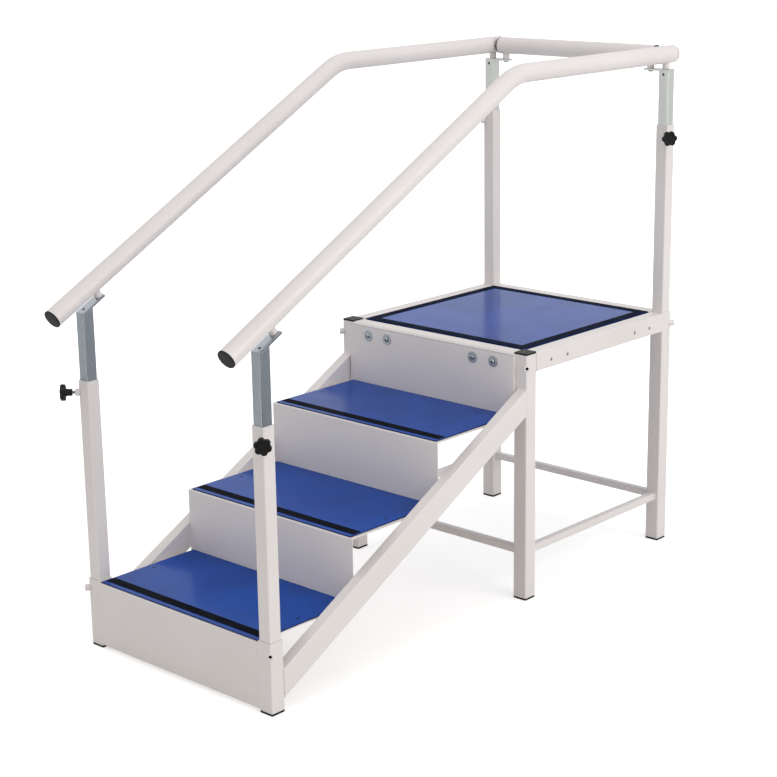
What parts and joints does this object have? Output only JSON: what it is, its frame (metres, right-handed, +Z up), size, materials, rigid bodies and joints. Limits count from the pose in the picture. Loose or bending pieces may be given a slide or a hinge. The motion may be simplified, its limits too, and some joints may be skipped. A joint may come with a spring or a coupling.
{
  "type": "therapy stairs with handrails",
  "caption": "Free-standing therapy stairs of welded square tube with blue anti-slip treads, a landing platform and bent handrails that slide up and down in clamped telescopic posts.",
  "frame": {"origin": "on the floor, below the middle of the whole object's bounding box", "axes": "+Z up; +X up the stairs, from the first step to the platform; +Y to the left of someone who climbs"},
  "size_m": [1.6298, 0.7095, 1.361],
  "materials": {
    "white_coat": "white powder coat, semi-gloss",
    "blue_board": "blue laminate, satin",
    "grip_strip": "black gritted anti-slip strip, matte",
    "black_plastic": "black moulded plastic, satin",
    "zinc_tube": "galvanised steel, dull",
    "plain_steel": "zinc-plated steel, satin"
  },
  "bodies": {
    "frame": {"front_leg_left": "white_coat", "platform_front_leg_left": "white_coat", "platform_rear_leg_left": "white_coat", "front_foot_left": "black_plastic", "platform_front_foot_left": "black_plastic", "platform_rear_foot_left": "black_plastic", "leg_cap_left": "black_plastic", "side_beam_left": "white_coat", "stretcher_left": "white_coat", "stringer_left": "white_coat", "outer_post_front_left": "white_coat", "outer_post_rear_left": "white_coat", "front_leg_right": "white_coat", "platform_front_leg_right": "white_coat", "platform_rear_leg_right": "white_coat", "front_foot_right": "black_plastic", "platform_front_foot_right": "black_plastic", "platform_rear_foot_right": "black_plastic", "leg_cap_right": "black_plastic", "side_beam_right": "white_coat", "stretcher_right": "white_coat", "stringer_right": "white_coat", "outer_post_front_right": "white_coat", "outer_post_rear_right": "white_coat", "cross_beam_front": "white_coat", "cross_beam_rear": "white_coat", "stretcher_front": "white_coat", "stretcher_rear": "white_coat", "back_panel": "white_coat", "platform_board": "blue_board", "platform_border": "grip_strip", "step_sheet_1": "white_coat", "tread_board_1": "blue_board", "tread_strip_1": "grip_strip", "step_sheet_2": "white_coat", "tread_board_2": "blue_board", "tread_strip_2": "grip_strip", "step_sheet_3": "white_coat", "tread_board_3": "blue_board", "tread_strip_3": "grip_strip"},
    "handrail": {"inner_tube_front_left": "zinc_tube", "inner_tube_rear_left": "zinc_tube", "side_rail_left": "white_coat", "rail_cap_front_left": "black_plastic", "rail_cap_rear_left": "black_plastic", "inner_tube_front_right": "zinc_tube", "inner_tube_rear_right": "zinc_tube", "side_rail_right": "white_coat", "rail_cap_front_right": "black_plastic", "rail_cap_rear_right": "black_plastic", "cross_rail": "white_coat"},
    "stud_front_left": {"clamp_stud_front_left": "plain_steel"},
    "knob_front_left": {"clamp_knob_front_left": "black_plastic"},
    "stud_front_right": {"clamp_stud_front_right": "plain_steel"},
    "knob_front_right": {"clamp_knob_front_right": "black_plastic"},
    "stud_rear_left": {"clamp_stud_rear_left": "plain_steel"},
    "knob_rear_left": {"clamp_knob_rear_left": "black_plastic"},
    "stud_rear_right": {"clamp_stud_rear_right": "plain_steel"},
    "knob_rear_right": {"clamp_knob_rear_right": "black_plastic"}
  },
  "joints": [
    {"name": "handrail_height", "type": "slide", "parent": "frame", "child": "handrail", "axis": [0, 0, 1], "range_m": [-0.12, 0.2]},
    {"name": "knob_travel_front_left", "type": "slide", "parent": "frame", "child": "stud_front_left", "axis": [-0.7071, 0.7071, 0], "range_m": [0, 0.0025]},
    {"name": "knob_turn_front_left", "type": "hinge", "parent": "stud_front_left", "child": "knob_front_left", "pos_m": [-0.73538, 0.32301, 0.63631], "axis": [-0.7071, 0.7071, 0], "range_deg": [0, 720]},
    {"name": "knob_travel_front_right", "type": "slide", "parent": "frame", "child": "stud_front_right", "axis": [-0.7071, -0.7071, 0], "range_m": [0, 0.0025]},
    {"name": "knob_turn_front_right", "type": "hinge", "parent": "stud_front_right", "child": "knob_front_right", "pos_m": [-0.73538, -0.32301, 0.63631], "axis": [-0.7071, -0.7071, 0], "range_deg": [0, 720]},
    {"name": "knob_travel_rear_left", "type": "slide", "parent": "frame", "child": "stud_rear_left", "axis": [-0.7071, 0.7071, 0], "range_m": [0, 0.0025]},
    {"name": "knob_turn_rear_left", "type": "hinge", "parent": "stud_rear_left", "child": "knob_rear_left", "pos_m": [0.75462, 0.32301, 1.1259], "axis": [-0.7071, 0.7071, 0], "range_deg": [0, 720]},
    {"name": "knob_travel_rear_right", "type": "slide", "parent": "frame", "child": "stud_rear_right", "axis": [-0.7071, -0.7071, 0], "range_m": [0, 0.0025]},
    {"name": "knob_turn_rear_right", "type": "hinge", "parent": "stud_rear_right", "child": "knob_rear_right", "pos_m": [0.75462, -0.32301, 1.1259], "axis": [-0.7071, -0.7071, 0], "range_deg": [0, 720]}
  ],
  "couplings": [
    {"joint": "knob_turn_front_left", "follows": "knob_travel_front_left", "rad_per_m": 5026.5},
    {"joint": "knob_turn_front_right", "follows": "knob_travel_front_right", "rad_per_m": 5026.5},
    {"joint": "knob_turn_rear_left", "follows": "knob_travel_rear_left", "rad_per_m": 5026.5},
    {"joint": "knob_turn_rear_right", "follows": "knob_travel_rear_right", "rad_per_m": 5026.5}
  ]
}
